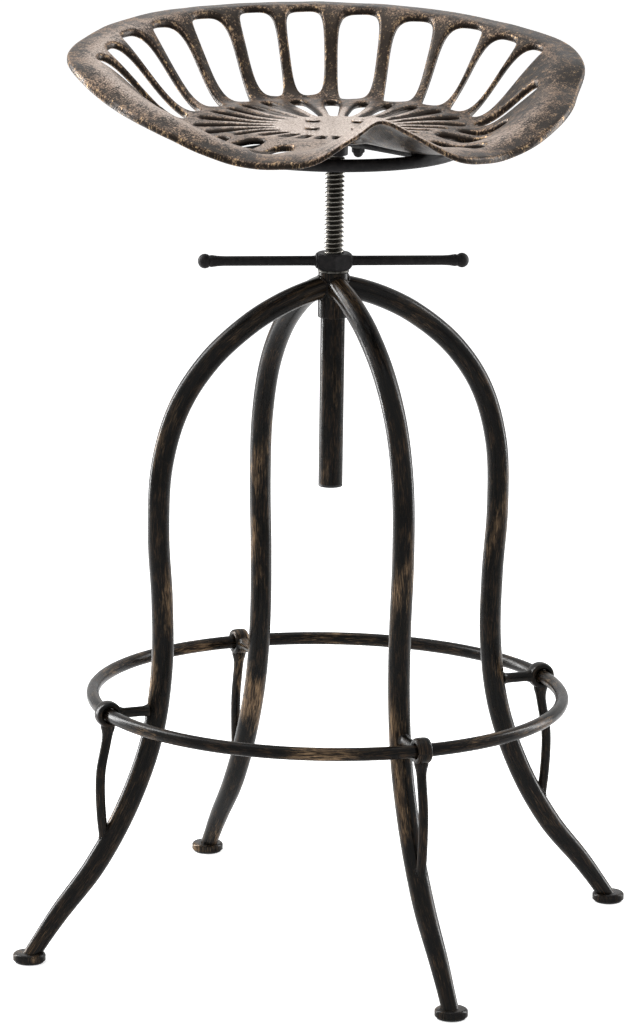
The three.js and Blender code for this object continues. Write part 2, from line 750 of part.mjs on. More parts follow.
// Spindle and everything that turns with the seat
piece(group, 'guide_bush', guideBush(), whiteNylon);
const turning = new THREE.Group();
turning.rotation.z = radians(seatTurnAtRest);
group.add(turning);
piece(turning, 'spindle', spindle(), bareSteel);
piece(turning, 'bush_washer', bushWasher(), zincPlate);
piece(turning, 'bush_screw', bushScrew(), zincPlate);
piece(turning, 'spindle_collar', spindleCollar(), satinBlack);
piece(turning, 'hand_ring', handRing(), satinBlack);
piece(turning, 'seat_casting', seatCasting(), seatBronze);
for (let i = 0; i < armCount; i += 1) {
  const corner = new THREE.Group();
  corner.rotation.z = radians(armTurn) + i * fullTurn / armCount;
  turning.add(corner);
  piece(corner, `seat_arm_${i + 1}`, seatArm(), satinBlack);
  piece(corner, `seat_bolt_${i + 1}`, seatBolt(), zincPlate);
  piece(corner, `seat_washer_${i + 1}`, seatWasher(), zincPlate);
  piece(corner, `cap_nut_${i + 1}`, capNut(), satinBlack);
}

export default group;
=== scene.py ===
import math

import bmesh
import bpy
import numpy as np
from mathutils import Matrix, Vector, noise
from mathutils.geometry import delaunay_2d_cdt
from mathutils.kdtree import KDTree


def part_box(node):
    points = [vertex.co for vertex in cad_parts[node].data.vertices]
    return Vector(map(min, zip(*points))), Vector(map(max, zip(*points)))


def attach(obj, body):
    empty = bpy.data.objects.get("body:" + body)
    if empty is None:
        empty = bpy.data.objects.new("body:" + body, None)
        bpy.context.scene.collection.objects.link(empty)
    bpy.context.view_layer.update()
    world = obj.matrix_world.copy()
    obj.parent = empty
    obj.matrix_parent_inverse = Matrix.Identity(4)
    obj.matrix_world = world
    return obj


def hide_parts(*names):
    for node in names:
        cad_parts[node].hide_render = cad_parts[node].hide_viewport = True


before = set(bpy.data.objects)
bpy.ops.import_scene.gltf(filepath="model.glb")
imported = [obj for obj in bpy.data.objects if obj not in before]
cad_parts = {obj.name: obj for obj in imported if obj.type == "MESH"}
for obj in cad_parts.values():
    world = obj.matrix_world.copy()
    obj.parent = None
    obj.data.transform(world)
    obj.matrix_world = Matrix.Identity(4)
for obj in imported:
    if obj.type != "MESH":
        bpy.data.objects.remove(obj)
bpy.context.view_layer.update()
scene = bpy.context.scene
scene.view_settings.view_transform = "Standard"

# The photograph's camera: a long lens 5.6 m away, looking down at 12.7 degrees and rolled by
# about one degree. Seen from it, the front leg stands a little right of the middle.
mm = 0.001
photo_height_pixels = 1024
focal_pixels = 6459
camera_place = Vector((0.041, -5.4629, 1.6093))
pitch, yaw, roll = 0.2218, -0.0102, 0.0138
camera_turn = math.radians(-23.469)


def in_scene(name, data):
    """A new object, linked to the scene."""
    thing = bpy.data.objects.new(name, data)
    scene.collection.objects.link(thing)
    return thing


camera_data = bpy.data.cameras.new("photo_camera")
camera = in_scene("photo_camera", camera_data)
scene.camera = camera
camera_data.sensor_width = 36
camera_data.lens = focal_pixels / photo_height_pixels * camera_data.sensor_width
ahead = Vector((math.sin(yaw) * math.cos(pitch), math.cos(yaw) * math.cos(pitch), -math.sin(pitch)))
level = Vector((math.cos(yaw), -math.sin(yaw), 0))
upright = level.cross(ahead)
across = math.cos(roll) * level + math.sin(roll) * upright
upward = math.cos(roll) * upright - math.sin(roll) * level
aim = Matrix((across, upward, -ahead)).transposed().to_4x4()
aim.translation = camera_place
camera.matrix_world = Matrix.Rotation(camera_turn, 4, "Z") @ aim


# The hub: a turned steel boss with the spindle's thread cut through it. It is painted black and
# then rubbed with bronze wax, as the whole frame is, so it has flecks that run with the brush.
def join(node, inputs):
    """Set a shader node's inputs to values, or join them to other nodes' sockets."""
    for key, value in inputs.items():
        if isinstance(value, bpy.types.NodeSocket):
            node.id_data.links.new(value, node.inputs[key])
        else:
            node.inputs[key].default_value = value


def wire(tree, kind, inputs=(), **settings):
    """A new shader node of a kind, with its settings and its inputs."""
    node = tree.nodes.new("ShaderNode" + kind)
    for key, value in settings.items():
        setattr(node, key, value)
    join(node, dict(inputs))
    return node


def steps(value, low, high, low_out=0, high_out=1):
    """A smooth step of a value between two levels."""
    levels = {0: value, 1: low, 2: high, 3: low_out, 4: high_out}
    return wire(value.id_data, "MapRange", levels, interpolation_type="SMOOTHSTEP").outputs[0]


def grain(place, size, detail, rough, stretch=1):
    """Noise whose spots are about size metres across, and stretched by a number along Z."""
    shrink = 1 / size, 1 / size, 1 / (size * stretch)
    scaled = wire(place.id_data, "VectorMath", {0: place, 1: shrink}, operation="MULTIPLY")
    spots = {"Vector": scaled.outputs[0], "Scale": 1, "Detail": detail, "Roughness": rough}
    return wire(place.id_data, "TexNoise", spots).outputs["Fac"]


def blend(amount, first, second):
    """A colour between two others."""
    colours = {0: amount, 6: first, 7: second}
    return wire(amount.id_data, "Mix", colours, data_type="RGBA").outputs[2]


def times(first, second):
    return wire(first.id_data, "Math", {0: first, 1: second}, operation="MULTIPLY").outputs[0]


def plus(first, second):
    return wire(first.id_data, "Math", {0: first, 1: second}, operation="ADD",
                use_clamp=True).outputs[0]


def bumped(height, depth, strength):
    """The direction of a surface made uneven to a given depth."""
    return wire(height.id_data, "Bump",
                {"Height": height, "Distance": depth, "Strength": strength}).outputs[0]


def finish_named(name):
    """A new material, its shader and the place of a point on the piece."""
    material = bpy.data.materials.new(name)
    material.use_nodes = True
    tree = material.node_tree
    shader = tree.nodes["Principled BSDF"]
    place = wire(tree, "TexCoord").outputs["Object"]
    return material, shader, place


def rubbed_frame_paint(name, patch_start, black, gloss):
    """Black paint with a thin brown film and, in worn patches, bronze in lines as fine as hairs."""
    material, shader, place = finish_named(name)
    tree = material.node_tree
    height = wire(tree, "SeparateXYZ", {0: place}).outputs["Z"]
    brushed = wire(tree, "Attribute", attribute_name="straight").outputs["Vector"]
    hairs = grain(brushed, 0.65 * mm, 5, 0.65, 16)
    streaks = grain(brushed, 2.2 * mm, 5, 0.68, 8)
    patches = grain(brushed, 40 * mm, 3, 0.55, 2.6)
    clouds = grain(brushed, 8 * mm, 3, 0.6, 3)
    handled = steps(height, 0.4, 0.54, 1, 0.4)
    worn = times(steps(patches, patch_start, 0.7, 0.05, 1), handled)
    faint = times(steps(hairs, 0.46, 0.68), steps(clouds, 0.44, 0.64))
    rub = times(times(steps(hairs, 0.46, 0.6), steps(streaks, 0.42, 0.58)), worn)
    film = times(times(steps(patches, 0.55, 0.69), steps(hairs, 0.36, 0.62)), handled)
    black = blend(faint, black, (0.055, 0.033, 0.019, 1))
    black = blend(film, black, (0.15, 0.097, 0.057, 1))
    copper = blend(streaks, (0.12, 0.07, 0.036, 1), (0.42, 0.285, 0.165, 1))
    join(shader, {"Base Color": blend(rub, black, copper), "Metallic": steps(rub, 0, 1, 0, 0.7),
                  "Roughness": steps(clouds, 0.3, 0.7, 0.2, 0.33), "Specular IOR Level": gloss,
                  "Normal": bumped(plus(times(streaks, 0.6), clouds), 0.22 * mm, 0.3)})
    return material


def softened(outline, rounding, closed=False):
    """An outline with each of its corners turned into a small arc."""
    count = len(outline)
    points = [Vector((r, z)) for r, z in outline]
    result = []
    for i, corner in enumerate(points):
        if not closed and i in (0, count - 1):
            result.append(tuple(corner))
            continue
        before, after = points[i - 1] - corner, points[(i + 1) % count] - corner
        reach = min(rounding, 0.45 * before.length, 0.45 * after.length)
        start, end = corner + before.normalized() * reach, corner + after.normalized() * reach
        for step in range(5):
            t = step / 4
            result.append(tuple((1 - t) ** 2 * start + 2 * t * (1 - t) * corner + t ** 2 * end))
    return result


def place_at(radius, angle, height=0.0):
    """A place given by its distance from the axis, its angle and its height."""
    return radius * math.cos(angle), radius * math.sin(angle), height


def angles_round(count, start=0.0):
    """Evenly spaced angles round a circle, from a share of one step on."""
    return (np.arange(count) + start) * 2 * math.pi / count


def turned(outline, sides=72, closed=False):
    """Points and faces of a turned piece, its outline given as radius and height pairs."""
    points, faces, rows = [], [], []
    for radius, height in outline:
        if radius < 0.01 * mm:
            rows.append([len(points)] * sides)
            points.append((0, 0, height))
            continue
        rows.append(list(range(len(points), len(points) + sides)))
        points += [place_at(radius, angle, height) for angle in angles_round(sides)]
    for a, b in zip(rows, rows[1:] + (rows[:1] if closed else [])):
        for i in range(sides):
            j = (i + 1) % sides
            corners = list(dict.fromkeys((a[i], a[j], b[j], b[i])))
            if len(corners) > 2:
                faces.append(corners)
    return points, faces


def sleeve(bore, radius, box, rounding, sides=72):
    """A turned ring or tube from one place's height to another's, its four corners rounded."""
    low, high = box
    outline = [(bore, low.z), (radius, low.z), (radius, high.z), (bore, high.z)]
    return turned(softened(outline, rounding, True), sides, True)


def made(name, shape, material, body, nodes=(), sharp=38):
    """One piece of the stool, riding on its body. Its shape is its points and faces and, for a rod
    or a bead, each point's place with the rod laid out straight, which the brush follows. Its slot
    holds its material."""
    points, faces, *straight = shape
    mesh = bpy.data.meshes.new(name)
    mesh.from_pydata([tuple(p) for p in points], [], faces)
    work = bmesh.new()
    work.from_mesh(mesh)
    bmesh.ops.recalc_face_normals(work, faces=work.faces)
    work.to_mesh(mesh)
    work.free()
    mesh.shade_smooth()
    mesh.set_sharp_from_angle(angle=math.radians(sharp))
    flow = mesh.attributes.new("straight", "FLOAT_VECTOR", "POINT")
    flow.data.foreach_set("vector", np.array(straight[0] if straight else points, float).ravel())
    mesh.materials.append(material)
    piece = in_scene(name, mesh)
    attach(piece, body)
    if nodes:
        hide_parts(*nodes)
    return piece


frame_paint = rubbed_frame_paint("frame_paint", 0.5, (0.003, 0.003, 0.0028, 1), 0.12)
hub_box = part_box("hub")
hub_radius = 13 * mm
thread_bore = 8.8 * mm
made("hub_boss", sleeve(thread_bore, hub_radius, hub_box, rounding=0.9 * mm), frame_paint, "frame",
     ["hub"])

# The guide tube: a plain steel tube welded under the hub, which the spindle's nylon bush slides
# in. A black plastic plug is pushed into its open lower end.
guide_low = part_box("guide_tube")[0]
guide_radius, guide_bore = 10.5 * mm, 9 * mm
made("guide_tube_steel", sleeve(guide_bore, guide_radius, (guide_low, hub_box[0]), rounding=0.4 * mm),
     frame_paint, "frame", ["guide_tube"])
black_plastic, shader, place = finish_named("black_plastic")
scuffs = steps(grain(place, 7 * mm, 5, 0.7), 0.5, 0.75)
join(shader, {"Base Color": blend(scuffs, (0.006, 0.006, 0.006, 1), (0.022, 0.021, 0.02, 1)),
              "Roughness": steps(scuffs, 0, 1, 0.5, 0.65),
              "Normal": bumped(grain(place, 0.9 * mm, 2, 0.5), 0.08 * mm, 0.5)})
plug_low, plug_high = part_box("tube_end_plug")
plug_play, plug_wall = 0.3 * mm, 1.6 * mm
plug_stem = guide_bore - plug_play
plug_bore = plug_stem - plug_wall
plug_outline = [(0, plug_low.z), (guide_radius, plug_low.z), (guide_radius, guide_low.z),
                (plug_stem, guide_low.z), (plug_stem, plug_high.z), (plug_bore, plug_high.z),
                (plug_bore, guide_low.z), (0, guide_low.z)]
made("plug_moulded", turned(softened(plug_outline, rounding=0.5 * mm)), black_plastic, "frame",
     ["tube_end_plug"])

# The legs: four steel tubes bent alike, each one bowing in over its foot, out again at half
# height and over at the top, where it is coped and welded to the hub.
foot_circle = 276 * mm
hub_top = 589.5 * mm
leg_radius = 9.5 * mm
leg_taper_share, taper_top, taper_power = 0.3, 90 * mm, 1.5
foot_top = 8.5 * mm
over_foot, off_hub = 4 * mm, 6 * mm
leg_radius_shares = [1.045, 0.987, 0.904, 0.784, 0.677, 0.595, 0.563, 0.564,
                     0.578, 0.568, 0.512, 0.41, 0.276, 0.176, 0.094, 0.02]
leg_height_shares = [-0.03, 0.0144, 0.0679, 0.1357, 0.2205, 0.3223, 0.4241, 0.5259,
                     0.6277, 0.7294, 0.8142, 0.8811, 0.9317, 0.9566, 0.9708, 0.9795]
side_names = ["right", "back", "left", "front"]


def curve_through(knots):
    """Points of a smooth curve through the knots, with no loops where two of them lie close."""
    knots = [np.array(k, float) for k in knots]
    knots = [2 * knots[0] - knots[1], *knots, 2 * knots[-1] - knots[-2]]
    points = []
    for i in range(1, len(knots) - 2):
        p = knots[i - 1:i + 3]
        a, b, c = [math.sqrt(np.linalg.norm(r - q)) for q, r in zip(p, p[1:])]
        start = b * ((p[1] - p[0]) / a - (p[2] - p[0]) / (a + b) + (p[2] - p[1]) / b)
        end = b * ((p[2] - p[1]) / b - (p[3] - p[1]) / (b + c) + (p[3] - p[2]) / c)
        for t in np.arange(24) / 24:
            points.append((2 * t ** 3 - 3 * t ** 2 + 1) * p[1] + (t ** 3 - 2 * t ** 2 + t) * start
                          + (3 * t ** 2 - 2 * t ** 3) * p[2] + (t ** 3 - t ** 2) * end)
    return np.array([*points, knots[-2]])


def way_along(points):
    """How far along a line each of its points lies."""
    return np.concatenate([[0], np.cumsum(np.linalg.norm(np.diff(points, axis=0), axis=1))])


def steps_round(points):
    """The step between the neighbours of each point of a closed line."""
    return np.roll(points, -1, axis=0) - np.roll(points, 1, axis=0)


def evenly(points, spacing, closed=False):
    """The same line with its points a given distance apart."""
    points = np.array(points, float)
    if closed:
        points = np.vstack([points, points[:1]])
    lengths = way_along(points)
    count = max(2, int(round(lengths[-1] / spacing)))
    places = np.linspace(0, lengths[-1], count + 1)
    spaced = np.stack([np.interp(places, lengths, column) for column in points.T], axis=1)
    return spaced[:-1] if closed else spaced


def skin_faces(rows, sides, closed=False):
    """Faces over rows of points, each row with as many points. Both ends are closed off, unless
    the last row meets the first."""
    faces = []
    for row in range(rows if closed else rows - 1):
        after = (row + 1) % rows
        for i in range(sides):
            j = (i + 1) % sides
            faces.append((row * sides + i, row * sides + j, after * sides + j, after * sides + i))
    if not closed:
        faces += [tuple(range(sides)), tuple(range((rows - 1) * sides, rows * sides))]
    return faces


def pressed_circle(angle, squareness):
    """A place on a circle pressed towards a square, more so for a squareness above 2."""
    return [math.copysign(abs(v) ** (2 / squareness), v) for v in (math.cos(angle), math.sin(angle))]


def swept(path, sizes, side, sides=32, closed=False, squareness=2.0):
    """A rod along a path that lies in a plane, side being that plane's normal. The sizes are its
    half widths across the plane and in it, one pair or one pair for each point. Also gives each
    point's place on the rod laid out straight."""
    path = np.array(path, float)
    sizes = np.broadcast_to(sizes, (len(path), 2))
    tangents = steps_round(path) if closed else np.gradient(path, axis=0)
    tangents /= np.linalg.norm(tangents, axis=1)[:, None]
    points, straight = [], []
    for place, tangent, (wide, deep), length in zip(path, tangents, sizes, way_along(path)):
        inward = np.cross(tangent, side)
        for angle in angles_round(sides, 0.5):
            u, v = pressed_circle(angle, squareness)
            points.append(place + wide * u * np.array(side) + deep * v * inward)
            straight.append((wide * u, deep * v, length))
    return np.array(points), skin_faces(len(path), sides, closed), np.array(straight)


def turned_round(shape, angle, shift=0.0):
    """A shape turned about the spindle's axis, with its brush marks shifted along it."""
    points, faces, *straight = shape
    c, s = math.cos(angle), math.sin(angle)
    points = np.array(points, float) @ np.array([[c, s, 0], [-s, c, 0], [0, 0, 1]])
    return points, faces, *(places + np.array([0, 0, shift]) for places in straight)


def round_hub(shape, quarter, shift=0.0):
    return turned_round(shape, quarter * math.pi / 2, shift)


leg_line = evenly(curve_through([(foot_circle * r, 0, hub_top * h) for r, h in
                                 zip(leg_radius_shares, leg_height_shares)]), spacing=5 * mm)
leg_span = [p for p in leg_line if p[2] > foot_top + over_foot and p[0] > hub_radius + off_hub]
leg_sides = 40
above_foot = np.clip(np.array(leg_span)[:, 2] / taper_top, 0, 1)
leg_sizes = leg_radius * (1 - leg_taper_share * (1 - above_foot) ** taper_power)
leg_shape = swept(leg_span, leg_sizes[:, None], (0, 1, 0), leg_sides)
foot_end, hub_end = leg_shape[0][:leg_sides], leg_shape[0][-leg_sides:]
down, inwards = leg_span[0] - leg_span[1], leg_span[-1] - leg_span[-2]
foot_end += np.outer((foot_top - foot_end[:, 2]) / down[2], down)
aside = np.abs(hub_end[:, 1])
coped = np.maximum(np.sqrt(np.maximum(hub_radius ** 2 - aside ** 2, 0)), aside)
hub_end += np.outer((coped - hub_end[:, 0]) / inwards[0], inwards)
for quarter, name in enumerate(side_names):
    made(f"leg_{name}_tube", round_hub(leg_shape, quarter, quarter * 0.7), frame_paint, "frame",
         [f"leg_{name}"])

# The feet: a turned steel cup welded level under each leg, with a black plastic glide pressed
# into it. The leg's tube comes down on the cup at a slant.
cup_radius = 14.25 * mm
cup_wall = 1.5 * mm
glide_show = 2 * mm
cup_ceiling = 5.5 * mm
cup_bore = cup_radius - cup_wall
cup_outline = [(0, cup_ceiling), (cup_bore, cup_ceiling), (cup_bore, glide_show),
               (cup_radius, glide_show), (cup_radius, foot_top - cup_wall), (cup_bore, foot_top),
               (0, foot_top)]
glide_radius = cup_bore - 0.3 * mm
glide_thickness = 5 * mm
glide_outline = [(0, 0), (glide_radius, 0), (glide_radius, glide_thickness), (0, glide_thickness)]


def moved(shape, place):
    points, *rest = shape
    return np.array(points) + place, *rest


foot_pieces = [("foot_cup", cup_outline, 0.7 * mm, frame_paint),
               ("foot_glide", glide_outline, 0.8 * mm, black_plastic)]
for quarter, name in enumerate(side_names):
    centre = place_at(foot_circle, quarter * math.pi / 2)
    for node, outline, rounding, material in foot_pieces:
        made(f"{node}_{name}_turned", moved(turned(softened(outline, rounding), 56), centre), material,
             "frame", [f"{node}_{name}"])

# The foot ring: one round steel rod rolled into a hoop and butt welded, threaded through the four
# eyes before they were closed round it. Feet have rubbed its paint more than the legs'.
trodden_paint = rubbed_frame_paint("frame_paint_trodden", 0.47, (0.0028, 0.0026, 0.0025, 1), 0.11)
ring_height = 214.5 * mm
ring_rod = 5.75 * mm
ring_reach = 45.4 * mm
leg_at_ring = float(np.interp(ring_height, leg_line[:, 2], leg_line[:, 0]))
ring_radius = leg_at_ring + ring_reach


def hoop(radius, rod, height, count):
    """A round rod bent to a level hoop, its line given by a count of points."""
    line = np.array([place_at(radius, angle, height) for angle in angles_round(count)])
    return swept(line, rod, (0, 0, 1), 28, True)


made("foot_ring_hoop", hoop(ring_radius, ring_rod, ring_height, 240), trodden_paint, "frame",
     ["foot_ring"])

# The ring's brackets: at each leg a rod is flattened and bent round the ring as an eye, runs on
# down as a bowed stay to the leg, and a short strut joins the eye to the leg behind it.
eye_radius = 11.5 * mm
eye_half_width = 6.5 * mm
eye_play = 0.15 * mm
strut_radius, strut_into_leg, strut_into_eye = 4.5 * mm, 0.6 * mm, 0.9 * mm
stay_radius, stay_into_leg, stay_into_eye = 4.25 * mm, 5.5 * mm, 3.5 * mm
stay_reach_shares = [0, 0.004, 0.032, 0.028, 0.01]
stay_drop_shares = [0, 0.09, 0.245, 0.413, 0.545]
eye_turns = angles_round(48)
eye_middle = (eye_radius + ring_rod + eye_play) / 2
eye_half_depth = (eye_radius - ring_rod - eye_play) / 2
eye_line = np.stack([ring_radius + eye_middle * np.cos(eye_turns), 0 * eye_turns,
                     ring_height + eye_middle * np.sin(eye_turns)], axis=1)
eye_shape = swept(eye_line, (eye_half_width, eye_half_depth), (0, 1, 0), 24, True, squareness=3)


def flare(distance, size, reach, power=1.5):
    """How much a rod swells at a distance from its weld or from the eye."""
    return size * np.exp(-(np.maximum(distance, 0) / reach) ** power)


strut_start = leg_at_ring + leg_radius - strut_into_leg
strut_end = ring_radius - eye_radius + strut_into_eye
strut_line = np.linspace((strut_start, 0, ring_height), (strut_end, 0, ring_height), 25)
to_weld = np.minimum(strut_line[:, 0] - strut_start, strut_end - strut_line[:, 0])
strut_sizes = strut_radius + flare(to_weld, size=1.3 * mm, reach=2.2 * mm)
strut_shape = swept(strut_line, strut_sizes[:, None], (0, 1, 0), 28)

stay_line = evenly(curve_through([(ring_radius * (1 + reach), 0, ring_height * (1 - drop))
                                  for reach, drop in zip(stay_reach_shares, stay_drop_shares)]),
                   spacing=2 * mm)
stay_line = stay_line[stay_line[:, 2] < ring_height - eye_radius + stay_into_eye]
fine_leg_line = evenly(leg_line, spacing=1 * mm)
from_leg = np.array([np.min(np.linalg.norm(fine_leg_line - p, axis=1)) for p in stay_line])
stay_line = stay_line[from_leg > leg_radius - stay_into_leg]
from_eye = ring_height - eye_radius - stay_line[:, 2]
to_leg = np.linalg.norm(stay_line - stay_line[-1], axis=1)
stay_sizes = (stay_radius + flare(from_eye, size=2.1 * mm, reach=5 * mm, power=1.4)
              + flare(to_leg, size=1.3 * mm, reach=4 * mm))
stay_shape = swept(stay_line, stay_sizes[:, None], (0, 1, 0), 28)
for quarter, name in enumerate(side_names):
    for node, shape in (("ring_eye", eye_shape), ("ring_strut", strut_shape), ("ring_stay", stay_shape)):
        made(f"{node}_{name}_rod", round_hub(shape, quarter, quarter * 0.3 + 0.05), frame_paint,
             "frame", [f"{node}_{name}"])

# The frame's welds: a bead laid by hand round the coped end of each leg at the hub, and one at
# the lower end of each stay. They are painted over with the frame.
bead_step = 0.8 * mm
bead_sides = 12
scallop_share, scallop_turn = 0.16, 1.68
waver_share, waver_step = 0.25, 0.23


def weld_bead(path, radius, seed):
    """A scalloped bead laid along a closed line."""
    path = evenly(path, bead_step, True)
    points, straight = [], []
    for i, (place, step) in enumerate(zip(path, steps_round(path))):
        # Where the line turns straight back on itself, the last direction holds
        if step.any():
            tangent = step / np.linalg.norm(step)
        lean = np.cross(tangent, (0.3, 0.2, 0.9))
        lean /= np.linalg.norm(lean)
        other = np.cross(tangent, lean)
        ripple = scallop_share * math.sin(scallop_turn * i)
        ripple += waver_share * noise.noise(Vector((waver_step * i, seed, 0)))
        for angle in angles_round(bead_sides):
            u, v, _ = place_at(radius * (1 + ripple), angle)
            points.append(place + u * lean + v * other)
            straight.append((u, v, i * bead_step))
    return np.array(points), skin_faces(len(path), bead_sides, True), np.array(straight)


bead_turns = angles_round(24)
stay_foot = []
for turn in bead_turns:
    for place, further in zip(stay_line, stay_line[1:]):
        run = (further - place) / np.linalg.norm(further - place)
        spot = place + stay_radius * (math.cos(turn) * np.array((0, 1, 0))
                                      + math.sin(turn) * np.cross(run, (0, 1, 0)))
        if np.min(np.linalg.norm(fine_leg_line - spot, axis=1)) < leg_radius + 0.3 * mm:
            break
    stay_foot.append(spot)
for quarter, name in enumerate(side_names):
    for kind, loop, radius in (("hub", hub_end, 1.3 * mm), ("stay", stay_foot, 1.0 * mm)):
        bead = weld_bead(loop, radius, quarter + 10 * len(kind))
        made(f"{kind}_weld_{name}", round_hub(bead, quarter), trodden_paint, "frame")

# The lock nut: a hexagon nut on the spindle, screwed down on a plated washer on the hub. A bar
# with a forged ball end is welded to each side of it, to turn it by hand.
satin_black, shader, place = finish_named("satin_black")
mottle = grain(place, 5 * mm, 4, 0.6)
chips = steps(grain(place, 1.3 * mm, 5, 0.7), 0.66, 0.74)
paint = blend(steps(mottle, 0.4, 0.7), (0.011, 0.0103, 0.0108, 1), (0.021, 0.019, 0.019, 1))
join(shader, {"Base Color": blend(times(chips, 0.5), paint, (0.12, 0.085, 0.06, 1)),
              "Roughness": steps(mottle, 0.3, 0.7, 0.42, 0.54), "Specular IOR Level": 0.12,
              "Normal": bumped(grain(place, 1.1 * mm, 3, 0.5), 0.12 * mm, 0.5)})
zinc, shader, place = finish_named("zinc_plate")
bloom = grain(place, 3 * mm, 5, 0.65)
join(shader, {"Base Color": blend(steps(bloom, 0.35, 0.65), (0.025, 0.023, 0.02, 1),
                                  (0.12, 0.115, 0.105, 1)),
              "Roughness": steps(bloom, 0.3, 0.7, 0.35, 0.55), "Metallic": 1,
              "Normal": bumped(bloom, 0.05 * mm, 0.4)})
thrust_radius = 13.5 * mm
made("thrust_washer_plated",
     sleeve(thread_bore, thrust_radius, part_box("thrust_washer"), rounding=0.3 * mm), zinc,
     "lock_washer", ["thrust_washer"])


def hexagon_nut(across_flats, bottom, top, bore, chamfer_share, turn, sides=144):
    """A nut with chamfered corners, a flat of it facing along X before its turn."""
    half = across_flats / 2
    face = half - 0.25 * mm
    columns = []
    for angle in angles_round(sides):
        reach = half / math.cos((angle + math.pi / 6) % (math.pi / 3) - math.pi / 6)
        cut = (reach - face) * chamfer_share
        outline = [(bore, bottom), (face, bottom), (reach, bottom + cut), (reach, top - cut),
                   (face, top), (bore, top)]
        columns.append([place_at(radius, angle + turn, height) for radius, height in outline])
    return [p for row in zip(*columns) for p in row], skin_faces(len(outline), sides, True)


nut_low, nut_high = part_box("lock_nut")
nut_across_flats = 28 * mm
lock_turn = math.radians(-17.3)
lock_nut = hexagon_nut(nut_across_flats, nut_low.z, nut_high.z, thread_bore, 0.6, lock_turn)
made("lock_nut_hexagon", lock_nut, satin_black, "lock_handle", ["lock_nut"], sharp=24)

bar_height = (nut_low.z + nut_high.z) / 2
bar_radius = 4.25 * mm
bar_into_nut = 0.4 * mm
bar_start = nut_across_flats / 2 - bar_into_nut
ball_reach = 111 * mm
ball_radius = 6.4 * mm
ball_length_share = 0.95
# How much a bar swells at distances from its weld, and towards its ball
weld_swells = [(0, 1.2 * mm), (3 * mm, 0.2 * mm), (6 * mm, 0)]
ball_swells = [(17 * mm, 0), (11 * mm, 0.3 * mm), (5.6 * mm, 1.1 * mm), (3.6 * mm, 0.5 * mm)]
bar_outline = [(0, bar_start), *((bar_radius + swell, bar_start + far) for far, swell in weld_swells),
               *((bar_radius + swell, ball_reach - far) for far, swell in ball_swells)]
bar_outline.append((0, bar_outline[-1][1]))
ball_outline = [(ball_radius * math.sin(a), ball_reach - ball_length_share * ball_radius * math.cos(a))
                for a in np.linspace(0, math.pi, 25)]
bead_radius = bar_radius + 0.8 * mm
for side, name in ((0, "right"), (math.pi, "left")):
    for node, outline in (("t_bar", softened(bar_outline, rounding=0.8 * mm)), ("t_ball", ball_outline)):
        points, faces = turned(outline, 40)
        level = moved(([(z, y, -x) for x, y, z in points], faces), (0, 0, bar_height))
        made(f"{node}_{name}_forged", turned_round(level, lock_turn + side), satin_black, "lock_handle",
             [f"{node}_{name}"], sharp=50)
    loop = [(bar_start + 0.5 * mm, bead_radius * math.cos(a), bar_height + bead_radius * math.sin(a))
            for a in bead_turns]
    made(f"t_bar_weld_{name}", turned_round(weld_bead(loop, 1.5 * mm, 40 + side), lock_turn + side),
         satin_black, "lock_handle")

# The spindle: a bare steel screw of 17 mm with a 4 mm pitch, its lower end turned down as a
# journal with a tapped hole. The thread is left as cut, coloured dark in its roots and lighter on its
# crests.
bare_steel, shader, place = finish_named("bare_steel")
tree = bare_steel.node_tree
flat = wire(tree, "VectorMath", {0: place, 1: (1, 1, 0)}, operation="MULTIPLY").outputs[0]
from_axis = wire(tree, "VectorMath", {0: flat}, operation="LENGTH").outputs["Value"]
crest = steps(from_axis, 7.0 * mm, 8.3 * mm)
worn = times(crest, steps(grain(place, 6 * mm, 4, 0.6), 0.2, 0.6, 0.6, 1))
join(shader, {"Base Color": blend(worn, (0.02, 0.018, 0.015, 1), (0.3, 0.285, 0.255, 1)),
              "Roughness": steps(worn, 0, 1, 0.5, 0.25), "Metallic": 1,
              "Normal": bumped(grain(place, 2 * mm, 2, 0.5, 0.25), 0.04 * mm, 0.5)})
spindle_low, spindle_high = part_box("spindle")
seat_turn = math.radians(-8.5)
screw_radius = 8.5 * mm
thread_pitch = 4 * mm
thread_depth = 1.9 * mm
crest_half_share, flank_share = 0.14, 0.62
journal_length = 16 * mm
journal_top = spindle_low.z + journal_length
journal_radius = 5 * mm
journal_edge = 0.6 * mm
screw_hole_radius = 2.8 * mm
screw_hole_depth = 14 * mm
screw_hole_edge = 0.5 * mm
thread_sides = 60
rows_per_turn = 12
lead_in_length, lead_in_share = 1.5 * mm, 0.25
thread_rows = int((spindle_high.z - journal_top) / thread_pitch * rows_per_turn)


def thread_radius(place):
    """The thread's radius at its share of a turn: flat crest, sloped flanks, narrow root."""
    away = abs((place % 1.0) - 0.5) * 2
    depth = min(max((away - crest_half_share) / flank_share, 0.0), 1.0)
    return screw_radius - thread_depth * depth


points = []
for radius, height in [(screw_hole_radius, screw_hole_depth), (screw_hole_radius, screw_hole_edge),
                       (screw_hole_radius + screw_hole_edge, 0), (journal_radius - journal_edge, 0),
                       (journal_radius, journal_edge), (journal_radius, journal_length - 0.1 * mm),
                       (journal_radius, journal_length)]:
    points += [place_at(radius, a + seat_turn, spindle_low.z + height) for a in angles_round(thread_sides)]
for row in range(thread_rows + 1):
    height = journal_top + row * (spindle_high.z - journal_top) / thread_rows
    lead_in = min(1.0, (height - journal_top) / lead_in_length * lead_in_share + (1 - lead_in_share))
    for i, angle in enumerate(angles_round(thread_sides)):
        radius = thread_radius((height - spindle_low.z) / thread_pitch - i / thread_sides) * lead_in
        points.append(place_at(radius, angle + seat_turn, height))
made("spindle_screw", (points, skin_faces(len(points) // thread_sides, thread_sides)), bare_steel,
     "seat", ["spindle"], sharp=55)

